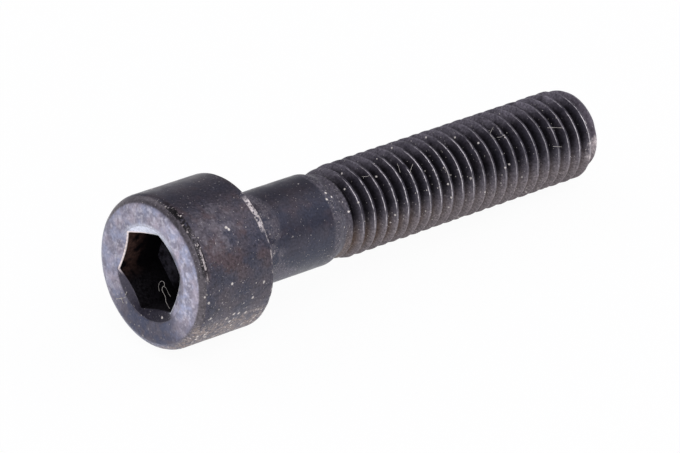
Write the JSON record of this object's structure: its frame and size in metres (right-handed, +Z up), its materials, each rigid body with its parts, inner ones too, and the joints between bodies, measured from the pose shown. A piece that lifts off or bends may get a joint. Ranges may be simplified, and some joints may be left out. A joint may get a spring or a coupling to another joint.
{
  "type": "socket head cap screw",
  "caption": "Partly threaded M8 by 40 hexagon socket head cap screw in blackened steel, with a smooth round head and a plain shank.",
  "frame": {"origin": "centre of the bearing face under the head, on the screw's axis", "axes": "+X runs from the head to the tip, level, with the screw's axis 3.69 degrees below it because the screw lies on its head's rim and its thread; +Z up; +Y to the left when looking along +X"},
  "size_m": [0.0476, 0.0128, 0.0132],
  "materials": {
    "black_oxide_steel": "satin"
  },
  "bodies": {
    "root": {"cap_screw": "black_oxide_steel"}
  },
  "joints": []
}
